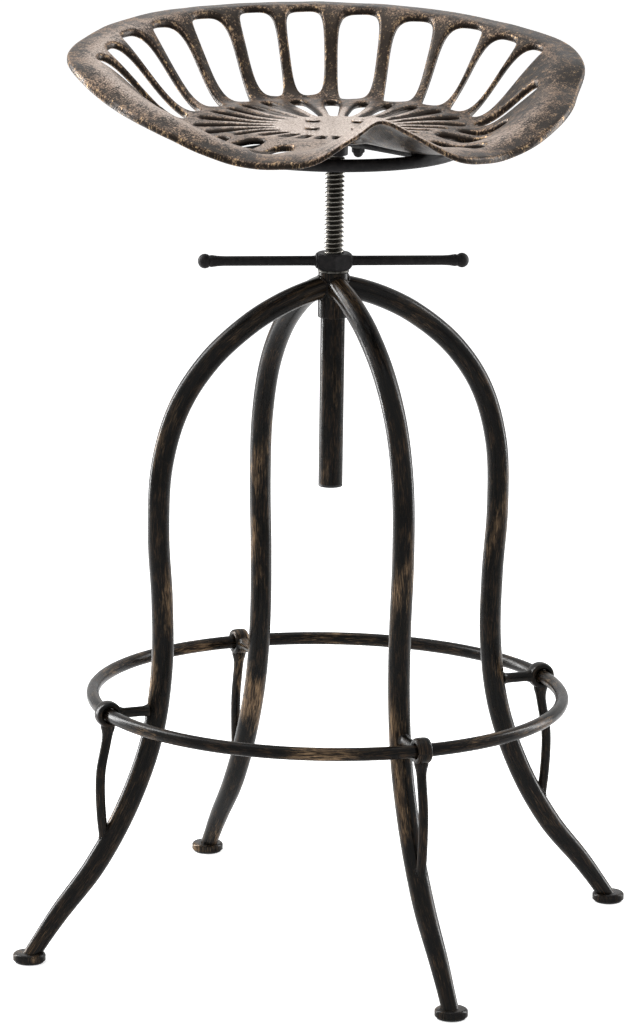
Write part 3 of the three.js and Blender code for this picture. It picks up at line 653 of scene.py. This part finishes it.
# The guide bush: a natural nylon bush on the journal that keeps the screw straight in its tube,
# held on by a plated washer and a screw from below. All three are hidden inside the tube.
nylon, shader, place = finish_named("white_nylon")
haze = grain(place, 4 * mm, 3, 0.5)
join(shader, {"Base Color": blend(haze, (0.62, 0.59, 0.52, 1), (0.76, 0.74, 0.69, 1)),
              "Roughness": steps(haze, 0.3, 0.7, 0.35, 0.55),
              "Normal": bumped(haze, 0.05 * mm, 0.3)})
bush_bore, bush_radius = 5.3 * mm, 8.7 * mm
bush_washer_radius = 7.5 * mm
made("guide_bush_nylon", sleeve(bush_bore, bush_radius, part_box("guide_bush"), rounding=0.7 * mm),
     nylon, "lift_bush", ["guide_bush"])
made("bush_washer_plated",
     sleeve(screw_hole_radius, bush_washer_radius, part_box("bush_washer"), rounding=0.3 * mm), zinc,
     "seat", ["bush_washer"])
screw_low, screw_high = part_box("bush_screw")
screw_head, screw_shank = 4.5 * mm, 2.5 * mm
screw_shoulder = screw_low.z + 5 * mm
screw_outline = [(0, screw_low.z), (screw_head, screw_low.z), (screw_head, screw_shoulder),
                 (screw_shank, screw_shoulder), (screw_shank, screw_high.z), (0, screw_high.z)]
made("bush_screw_plated", turned(softened(screw_outline, rounding=0.6 * mm), 40), zinc, "seat",
     ["bush_screw"])

# The seat's carrier: a collar welded on the screw's top end, four flat steel arms welded to it,
# and a round steel ring welded to the arms' outer ends, by which the seat is turned by hand.
collar_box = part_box("spindle_collar")
collar_radius = 11 * mm
made("collar_turned", sleeve(thread_bore, collar_radius, collar_box, rounding=0.8 * mm), satin_black,
     "seat", ["spindle_collar"])
hand_low, hand_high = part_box("hand_ring")
hand_radius = 107 * mm
hand_rod = 5.5 * mm
made("hand_ring_rod", hoop(hand_radius, hand_rod, (hand_low.z + hand_high.z) / 2, 180), satin_black,
     "seat", ["hand_ring"])


def outwards_from(outline):
    """The direction away from a closed outline at each of its points, if it runs anticlockwise."""
    x, y = steps_round(outline).T
    outwards = np.stack([y, -x], axis=1)
    return outwards / np.linalg.norm(outwards, axis=1)[:, None]


def flat_bar(outline, bottom, top, edge):
    """A plate with softened edges, cut to a plan outline that runs anticlockwise."""
    outwards = outwards_from(outline)
    points = []
    for inset, height in ((1, bottom), (0.3, bottom + 0.3 * edge), (0, bottom + edge),
                          (0, top - edge), (0.3, top - 0.3 * edge), (1, top)):
        points += [(x, y, height) for x, y in outline - outwards * inset * edge]
    return points, skin_faces(6, len(outline))


arm_low, arm_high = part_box("seat_arm_1")
arm_half = 10 * mm
arm_start, arm_end = 11.2 * mm, 102.5 * mm
tail = math.asin(arm_half / arm_end)
nose = math.asin(0.98 * arm_half / (collar_radius + 0.3 * mm))
arm_outline = np.array([place_at(arm_end, a)[:2] for a in np.linspace(-tail, tail, 9)]
                       + [place_at(arm_start, a)[:2] for a in np.linspace(nose, -nose, 9)])
arm_shape = flat_bar(arm_outline, arm_low.z, arm_high.z, edge=0.6 * mm)
seam_reach, seam_half, seam_height = hand_radius - 4.4 * mm, 9.5 * mm, arm_low.z + 0.2 * mm
arm_seam = [(seam_reach, y, seam_height) for y in np.linspace(-seam_half, seam_half, 9)]
arm_turns = [math.radians(30) + k * math.pi / 2 + seat_turn for k in range(4)]
for k, turn in enumerate(arm_turns, 1):
    made(f"seat_arm_{k}_flat", turned_round(arm_shape, turn), satin_black, "seat", [f"seat_arm_{k}"])
    bead = weld_bead(arm_seam + arm_seam[::-1][1:-1], 1.7 * mm, 59 + k)
    made(f"arm_weld_{k}", turned_round(bead, turn), satin_black, "seat")

# The seat's fixings: four low domed bolts through the pan and the arms, each with a plated washer
# and a black domed cap nut underneath.
bolt_circle = 28 * mm
bolt_low, bolt_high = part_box("seat_bolt_1")
cap_low, cap_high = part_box("cap_nut_1")
shank_radius, bolt_hole = 3 * mm, 3.3 * mm
head_radius = 6.5 * mm
head_height, head_edge, head_dome = 3.5 * mm, 0.5 * mm, 2.2 * mm
head_bottom = bolt_high.z - head_height
dome_bottom = head_bottom + head_edge
bolt_outline = [(0, bolt_low.z), (shank_radius, bolt_low.z), (shank_radius, head_bottom),
                (head_radius, head_bottom), (head_radius, dome_bottom)]
bolt_outline += [(head_radius * math.cos(a), dome_bottom + head_dome * math.sin(a))
                 for a in np.linspace(0.12, math.pi / 2, 9)]
bolt_outline[-1] = (0, dome_bottom + head_dome)
cap_middle = (cap_low.z + cap_high.z) / 2
cap_across_flats = 10 * mm
cap_dome_radius, cap_dome_height = 4.35 * mm, 4.4 * mm
dome_start = cap_middle + 0.2 * mm
dome_outline = [(cap_dome_radius * math.cos(a), dome_start - cap_dome_height * math.sin(a))
                for a in np.linspace(0, math.pi / 2, 13)[:-1]]
dome_outline = [(0, dome_start), *dome_outline, (0, cap_low.z)]
# Black cast metal rubbed with bronze. The attribute read below holds three values for each point:
# the rub of sitting and polishing, most on flat places, with a painted sheen of the lamps added,
# strongest on the left; the rub of edges; and a mark on the slots' sides and along the floor
# slots' borders, where painted shade keeps them dark.
seat_bronze, shader, place = finish_named("seat_bronze")
tree = seat_bronze.node_tree
normal = wire(tree, "NewGeometry").outputs["Normal"]
upward_face = wire(tree, "SeparateXYZ", {0: normal}).outputs["Z"]
rub_and_light = wire(tree, "Attribute", attribute_name="rub_and_light").outputs["Vector"]
rub_and_sheen, edge, slot_shade = wire(tree, "SeparateXYZ", {0: rub_and_light}).outputs
fine = grain(place, 1.5 * mm, 6, 0.74, 2.6)
coarse = grain(place, 7 * mm, 5, 0.68, 1.8)
broad = grain(place, 30 * mm, 3, 0.5)
# Faces that point up take more of the first value. This is a painted reflection of the overhead lamp, and
# it carries on into the worn value and the pale colour below.
flat = times(rub_and_sheen, steps(upward_face, 0.6, 0.98, 0.05, 1))
worn = plus(times(flat, 0.34), times(edge, 0.12))
worn = plus(worn, times(steps(broad, 0.35, 0.7), 0.06))
# Painted shade: the slots' sides and the floor slots' borders keep almost none of the rub or the gilt
# flecks, so they stay dark.
lit_outside_slots = steps(slot_shade, 0.2, 0.9, 1, 0.08)
value = plus(plus(times(fine, 0.58), times(coarse, 0.42)), worn)
rub = times(steps(value, 0.575, 0.7), lit_outside_slots)
flecks = times(steps(fine, 0.53, 0.6), steps(coarse, 0.47, 0.58))
dark = blend(steps(coarse, 0.4, 0.7), (0.0032, 0.0026, 0.0024, 1), (0.019, 0.013, 0.0105, 1))
brown = blend(steps(fine, 0.4, 0.62), (0.055, 0.036, 0.027, 1), (0.31, 0.215, 0.155, 1))
# The pale colour is a painted sheen: the cream that the overhead lamp would give to rubbed faces that
# point up.
pale_sheen = blend(steps(fine, 0.38, 0.62), (0.27, 0.21, 0.175, 1), (0.82, 0.76, 0.715, 1))
colour = blend(rub, dark, blend(steps(flat, 0.12, 0.75), brown, pale_sheen))
gilt = times(flecks, steps(flat, 0.1, 0.6, 0.8, 0.08))
gilt = times(times(gilt, steps(edge, 0, 0.7, 0.28, 1)), lit_outside_slots)
join(shader, {"Base Color": blend(gilt, colour, (0.6, 0.42, 0.2, 1)),
              "Metallic": plus(times(rub, 0.4), times(gilt, 0.4)),
              "Roughness": steps(fine, 0.3, 0.7, 0.26, 0.44),
              "Specular IOR Level": 0.26, "Specular Tint": (1, 0.78, 0.62, 1),
              "Normal": bumped(plus(times(fine, 0.5), times(coarse, 0.6)), 0.6 * mm, 0.55)})


def keep_rub_and_light(piece, values):
    """Keep on each point of a cast piece its rub, the painted sheen it takes, and its painted shade."""
    layer = piece.data.attributes.new("rub_and_light", "FLOAT_VECTOR", "POINT")
    layer.data.foreach_set("vector", np.array(values, float).ravel())


for k, turn in enumerate(arm_turns, 1):
    centre = place_at(bolt_circle, turn)
    shape = moved(turned(softened(bolt_outline, rounding=0.3 * mm), 40), centre)
    bolt = made(f"seat_bolt_{k}_domed", shape, seat_bronze, "seat", [f"seat_bolt_{k}"])
    # The bolts' domed heads are counted as well rubbed, so their tops take the pale painted sheen of the
    # pan's flat places.
    keep_rub_and_light(bolt, [(0.9, 0.4, 0)] * len(shape[0]))
    shape = sleeve(bolt_hole, head_radius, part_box(f"seat_washer_{k}"), rounding=0.25 * mm, sides=40)
    made(f"seat_washer_{k}_plated", moved(shape, centre), zinc, "seat", [f"seat_washer_{k}"])
    points, faces = hexagon_nut(cap_across_flats, cap_middle, cap_high.z, bolt_hole, 0.5, turn, 72)
    dome_points, dome_faces = turned(dome_outline, 40)
    faces += [tuple(v + len(points) for v in face) for face in dome_faces]
    made(f"cap_nut_{k}_domed", moved((points + dome_points, faces), centre), satin_black, "seat",
         [f"cap_nut_{k}"], sharp=30)

# The seat: one thin casting in the shape of an old tractor's pan, with a raised pommel in front,
# high sides and back, a rolled lip, twenty long slots round its wall and twenty-eight in its floor.
half_width = 220 * mm
wall_height = 73 * mm
pan_dish = 10 * mm
cast_thickness = 6.5 * mm
boss_thickness = 9 * mm
boss_radius = 46 * mm
boss_fade = 12 * mm
lip_roll = 16 * mm
edge_round, edge_flat_half = 3 * mm, 0.4 * mm
uneven_size, uneven_height = 26 * mm, 0.5 * mm
steepest = 2.2
crest_share, lip_share = 0.93, 0.78
thin_pommel_share = 0.35
seat_floor = collar_box[1].z + 0.3 * mm + boss_thickness
# By degrees from the back: radius share, edge height share and lip fall share
rim_shares = np.array([
    [0, 1.045, 1.01, 0], [30, 1.03, 0.99, 0], [60, 1.022, 0.885, 0], [75, 1.04, 0.79, 0],
    [90, 1, 0.64, 0.18], [100, 0.94, 0.44, 0.34], [110, 0.914, 0.33, 0.4], [120, 0.885, 0.205, 0.36],
    [130, 0.846, 0.05, 0.3], [140, 0.806, -0.058, 0.3], [150, 0.807, -0.055, 0.32],
    [160, 0.81, 0.01, 0.3], [170, 0.755, 0.23, 0.1], [180, 0.688, 0.4, 0]])
# By degrees from the back: where the floor ends, and the dish's depth, start and end
floor_shares = np.array([[0, 0.635], [40, 0.573], [80, 0.544], [110, 0.598], [140, 0.616],
                         [160, 0.52], [180, 0.42]])
dish_shares = np.array([
    [0, 0, 0.3, 0.685], [50, 0.45, 0.3, 0.62], [90, -0.3, 0.3, 0.62], [110, -0.48, 0.38, 0.65],
    [125, -0.55, 0.4, 0.64], [140, -0.55, 0.45, 0.7], [150, -0.45, 0.5, 0.72],
    [160, -0.2, 0.4, 0.65], [180, 0.8, 0.3, 0.5]])
# Each wall slot: degrees and radius share at its inner end, the same at its outer end, width
wall_slot_shares = [
    [6.3, 0.7, 6.2, 0.95, 0.14], [21, 0.636, 20.3, 0.93, 0.155], [38.9, 0.572, 35.1, 0.912, 0.155],
    [54.6, 0.58, 49.9, 0.915, 0.152], [67, 0.593, 63.2, 0.908, 0.138], [78, 0.6, 74, 0.926, 0.118],
    [88.5, 0.57, 94.5, 0.8, 0.105], [103.5, 0.475, 108.4, 0.67, 0.1], [121, 0.41, 122, 0.62, 0.112],
    [141, 0.455, 142, 0.7, 0.12]]
floor_slot_shares = np.array([
    [0, 0.66], [20, 0.59], [39, 0.525], [55, 0.535], [67, 0.548], [79, 0.55], [90, 0.53],
    [104, 0.43], [121, 0.36], [141, 0.34], [158, 0.33], [180, 0.33]])
floor_slot_count = 28
floor_slot_start = 52 * mm
floor_slot_open_share = 0.52
slot_taper_share = 0.18
slot_squareness = 3.2


def along(rows, degrees, column):
    """A smooth value between the rows of a table."""
    places, values = rows[:, 0], rows[:, column]
    slopes = np.zeros(len(rows))
    slopes[1:-1] = (values[2:] - values[:-2]) / (places[2:] - places[:-2])
    i = np.clip(np.searchsorted(places, degrees) - 1, 0, len(rows) - 2)
    span = places[i + 1] - places[i]
    t = (degrees - places[i]) / span
    keep = 2 * t ** 3 - 3 * t ** 2 + 1
    return (keep * values[i] + (1 - keep) * values[i + 1] + (t ** 3 - 2 * t ** 2 + t) * span * slopes[i]
            + (t ** 3 - t ** 2) * span * slopes[i + 1])


def smooth(low, high, value):
    t = np.clip((value - low) / (high - low), 0, 1)
    return t * t * (3 - 2 * t)


def place_shares(x, y):
    """A place's degrees from the back, which is at +y, and its share of the way to the rim."""
    degrees = np.abs(np.degrees(np.arctan2(x, y)))
    return degrees, np.hypot(x, y) / (half_width * along(rim_shares, degrees, 1))


def pan_height(x, y):
    """Height of the pan's upper face at a place in plan."""
    degrees, share = place_shares(x, y)
    fall = lip_roll * along(rim_shares, degrees, 3)
    crest = wall_height * along(rim_shares, degrees, 2) + fall
    dish = pan_dish * along(dish_shares, degrees, 1)
    sink = smooth(along(dish_shares, degrees, 2), along(dish_shares, degrees, 3), share)
    rise = smooth(along(floor_shares, degrees, 1), crest_share, share)
    lip = np.maximum(0, (share - lip_share) / (1 - lip_share))
    return seat_floor + dish * sink + (crest - dish) * rise - fall * lip ** 2


def slot_outline(inner_turn, inner, outer_turn, outer, inner_width, outer_width):
    """A slot's plan outline, a long rounded shape that widens outwards."""
    start = inner * np.array([math.sin(inner_turn), math.cos(inner_turn)])
    end = outer * np.array([math.sin(outer_turn), math.cos(outer_turn)])
    middle, half = (start + end) / 2, (end - start) / 2
    sideways = np.array([-half[1], half[0]]) / np.linalg.norm(half)
    outline = []
    for angle in angles_round(240, 0.5):
        lengthwise, crosswise = pressed_circle(angle, slot_squareness)
        width = inner_width + (outer_width - inner_width) * (1 + lengthwise) / 2
        outline.append(middle + half * lengthwise + sideways * crosswise * width / 2)
    return evenly(outline, spacing=1.5 * mm, closed=True)


rim_spare = 1.5 * mm
rim_turns = angles_round(720)
from_back = np.abs(np.degrees((rim_turns + math.pi) % (2 * math.pi) - math.pi))
rim_reach = half_width * along(rim_shares, from_back, 1) + rim_spare
rim_outline = evenly(np.stack([rim_reach * np.sin(rim_turns), rim_reach * np.cos(rim_turns)], axis=1),
                     spacing=2.2 * mm, closed=True)
slots = []
for inner_degrees, inner, outer_degrees, outer, width in wall_slot_shares:
    for side in (-1, 1):
        slots.append(slot_outline(side * math.radians(inner_degrees), inner * half_width,
                                  side * math.radians(outer_degrees), outer * half_width,
                                  (1 - slot_taper_share) * width * half_width,
                                  (1 + slot_taper_share) * width * half_width))
open_angle = floor_slot_open_share * 2 * math.pi / floor_slot_count
for angle in angles_round(floor_slot_count):
    degrees = min(math.degrees(angle), 360 - math.degrees(angle))
    end = half_width * float(along(floor_slot_shares, degrees, 1))
    slots.append(slot_outline(angle, floor_slot_start, angle, end, open_angle * floor_slot_start,
                              open_angle * end))
for turn in arm_turns:
    centre = np.array(place_at(bolt_circle, turn - seat_turn)[:2])
    slots.append(np.array([centre + place_at(bolt_hole, angle)[:2] for angle in angles_round(20)]))


def inside(outline, places):
    """Which places lie inside a closed outline."""
    result = np.zeros(len(places), bool)
    low, high = outline.min(axis=0), outline.max(axis=0)
    near = np.nonzero(((places >= low) & (places <= high)).all(axis=1))[0]
    x, y = places[near, 0], places[near, 1]
    crossings = np.zeros(len(near), int)
    for a, b in zip(outline, np.roll(outline, -1, axis=0)):
        if a[1] == b[1]:
            continue
        straddles = (a[1] > y) != (b[1] > y)
        crossings += straddles & (x < (b[0] - a[0]) * (y - a[1]) / (b[1] - a[1]) + a[0])
    result[near] = crossings % 2 == 1
    return result


def in_metal(places):
    """Which places in plan lie inside the rim and in no slot or bolt hole."""
    result = inside(rim_outline, places)
    for slot in slots:
        result &= ~inside(slot, places)
    return result


borders = [rim_outline, *slots]
border_dots = np.vstack([evenly(border, 0.3 * mm, True) for border in borders])
nearest = KDTree(len(border_dots))
for i, (x, y) in enumerate(border_dots):
    nearest.insert((x, y, 0), i)
nearest.balance()


def border_gaps(places):
    """How far each place in plan is from the nearest border of the casting."""
    return np.array([nearest.find((x, y, 0))[2] for x, y in places])


# Rows of points along each border, then a field of points in a triangular pattern
row_gaps = [0.35 * mm, 1.0 * mm, 1.9 * mm, 2.9 * mm]
field_gap = 4.1 * mm
cell, line_share = 4 * mm, 0.866
plan = [np.vstack(borders)]
for border in borders:
    outwards = outwards_from(border)
    points_out = ((border - border.mean(axis=0)) * outwards).sum() > 0
    into_metal = -outwards if points_out == (border is rim_outline) else outwards
    for offset in row_gaps:
        row = border + into_metal * offset
        plan.append(row[border_gaps(row) > offset - 0.1 * mm])
columns, lines = np.meshgrid(np.arange(-62, 63), np.arange(-72, 73))
field = np.stack([(columns + 0.5 * (lines % 2)) * cell, lines * cell * line_share], axis=-1)
field = field.reshape(-1, 2)
field = field[in_metal(field)]
plan = np.vstack([*plan, field[border_gaps(field) > field_gap]])
ties, first = [], 0
for border in borders:
    count = len(border)
    ties += [(first + i, first + (i + 1) % count) for i in range(count)]
    first += count
scale_up = 1000.0
net = delaunay_2d_cdt([Vector(p) * scale_up for p in plan], ties, [], 0, 1e-6)
flat_points = np.array([tuple(p) for p in net[0]]) / scale_up
triangles = np.array(net[2])
triangles = triangles[in_metal(flat_points[triangles].mean(axis=1))]
used, triangles = np.unique(triangles, return_inverse=True)
triangles = triangles.reshape(-1, 3)
flat_points = flat_points[used]
x, y = flat_points.T
top = pan_height(x, y)
probe = 0.5 * mm
slope = np.hypot((pan_height(x + probe, y) - pan_height(x - probe, y)) / (2 * probe),
                 (pan_height(x, y + probe) - pan_height(x, y - probe)) / (2 * probe))
on_boss = 1 - smooth(boss_radius, boss_radius + boss_fade, np.hypot(x, y))
thickness = cast_thickness + (boss_thickness - cast_thickness) * on_boss
from_back, share = place_shares(x, y)
thickness *= 1 - thin_pommel_share * smooth(150, 172, from_back) * smooth(0.7, 0.95, share)
upright_thickness = thickness * np.minimum(np.sqrt(1 + slope ** 2), steepest)
edge_gap = border_gaps(flat_points)
round_in = 1 - np.sqrt(1 - (1 - np.minimum(edge_gap / edge_round, 1)) ** 2)
drop = (upright_thickness / 2 - edge_flat_half) * round_in
unevenness = uneven_height * np.array([noise.noise(Vector((a, b, 3.1)) / uneven_size)
                                       for a, b in flat_points])
upper = np.stack([x, y, top - drop + unevenness], axis=1)
lower = np.stack([x, y, top - upright_thickness + drop + unevenness], axis=1)
count = len(flat_points)
edges = dict.fromkeys(pair for a, b, c in triangles for pair in ((a, b), (b, c), (c, a)))
faces = [tuple(t) for t in triangles] + [(a + count, c + count, b + count) for a, b, c in triangles]
faces += [(b, a, a + count, b + count) for a, b in edges if (b, a) not in edges]
pan_shape = np.vstack([upper, lower]), [tuple(int(v) for v in face) for face in faces]
casting = made("seat_casting_pan", turned_round(pan_shape, seat_turn), seat_bronze, "seat",
               ["seat_casting"], sharp=75)
# The first value. The floor of the pan is rubbed by sitting; its outer ribs are darker within a few
# millimetres of the slots' borders, as painted shade.
sitting_rub_and_shade = 0.9 * (1 - smooth(0.3, 0.56, share))
sitting_rub_and_shade *= 1 - 0.55 * smooth(0.24, 0.32, share) * (1 - smooth(1.2 * mm, 4.2 * mm, edge_gap))
# The lobes and the pommel are rubbed more, with a painted sheen on them. The whole seat also gets a
# painted sheen, strongest on the left side, towards the lamps there. The outer lip gets less, except at
# the front.
front_rub_and_sheen = 0.32 * smooth(155, 172, from_back) + 0.4 * smooth(60, 135, from_back)
left_lamp_sheen = 0.24 + 0.34 * smooth(0.2, 0.9, -x / half_width)
rub_and_sheen_on_top = np.clip(np.maximum(np.maximum(sitting_rub_and_shade, front_rub_and_sheen), left_lamp_sheen), 0, 1)
rub_and_sheen_on_top *= 1 - 0.65 * smooth(0.86, 1, share) * (1 - smooth(150, 170, from_back))
on_floor = 1 - smooth(0.5, 0.6, share)
edge_rub = np.exp(-((edge_gap - 1.0 * mm) / (0.7 * mm)) ** 2) * (1 - 0.85 * on_floor)
edge_rub = np.maximum(edge_rub, 0.35 * smooth(0.985, 1, share))
# The third value, painted shade: the slots' sides, and a band along the floor slots' borders, are marked
# to stay dark.
painted_slot_shade = ((edge_gap < 0.1 * mm) & (share < 0.97)).astype(float)
painted_slot_shade = np.maximum(painted_slot_shade, on_floor * (1 - smooth(0.2 * mm, 1.8 * mm, edge_gap)))
# Points underneath keep a tenth of the rub and painted sheen.
keep_rub_and_light(casting, np.vstack([np.stack([rub_and_sheen_on_top, edge_rub, painted_slot_shade], axis=1),
                           np.stack([rub_and_sheen_on_top * 0.1, edge_rub, painted_slot_shade], axis=1)]))

# The studio: a white floor and a white surround, with a large soft lamp overhead, a smaller one
# up on the left and a tall narrow one on each side, which draws a bright line along the tubes.
floor_mesh = bpy.data.meshes.new("studio_floor")
floor_half = 14.0
floor_corners = [(-1, -1), (1, -1), (1, 1), (-1, 1)]
floor_mesh.from_pydata([(floor_half * x, floor_half * y, 0) for x, y in floor_corners], [], [(0, 1, 2, 3)])
studio_floor = in_scene("studio_floor", floor_mesh)
studio_white, shader, place = finish_named("studio_white")
light_path = wire(studio_white.node_tree, "LightPath")
join(shader, {"Base Color": (0.92, 0.92, 0.92, 1), "Roughness": 0.9, "Emission Color": (1, 1, 1, 1),
              "Emission Strength": times(light_path.outputs["Is Camera Ray"], 0.6)})
floor_mesh.materials.append(studio_white)

world = bpy.data.worlds.new("studio")
scene.world = world
world.use_nodes = True
tree = world.node_tree
tree.nodes.clear()
light_path = wire(tree, "LightPath")
seen = plus(plus(light_path.outputs["Is Camera Ray"], light_path.outputs["Is Glossy Ray"]),
            light_path.outputs["Is Transmission Ray"])
seen_white = wire(tree, "Background", {"Color": (1, 1, 1, 1), "Strength": 1})
fill_light = wire(tree, "Background", {"Color": (1, 1, 1, 1), "Strength": 0.45})
mixed = wire(tree, "MixShader", {0: seen, 1: fill_light.outputs[0], 2: seen_white.outputs[0]})
wire(tree, "OutputWorld", {"Surface": mixed.outputs[0]})


def soft_lamp(name, place, aim_height, width, height, watts):
    """A lamp aimed at the spindle's axis. Its place is measured from the spindle's foot, as the
    camera sees it: to the right, away and up."""
    data = bpy.data.lights.new(name, "AREA")
    data.shape = "RECTANGLE"
    data.size, data.size_y = width, height
    data.energy = watts
    lamp = in_scene(name, data)
    lamp.location = Matrix.Rotation(camera_turn, 4, "Z") @ Vector(place)
    lamp.rotation_euler = (Vector((0, 0, aim_height)) - lamp.location).to_track_quat("-Z", "Y").to_euler()


soft_lamp("overhead_lamp", (-0.2, 0.2, 3.2), 0.4, 2.0, 2.0, 27)
soft_lamp("key_lamp", (-1.7, 0.9, 2.2), 0.5, 0.8, 0.8, 30)
soft_lamp("left_strip", (-1.9, 1.0, 0.9), 0.5, 0.35, 1.8, 64)
soft_lamp("right_strip", (1.9, 0.9, 0.9), 0.5, 0.3, 1.8, 40)
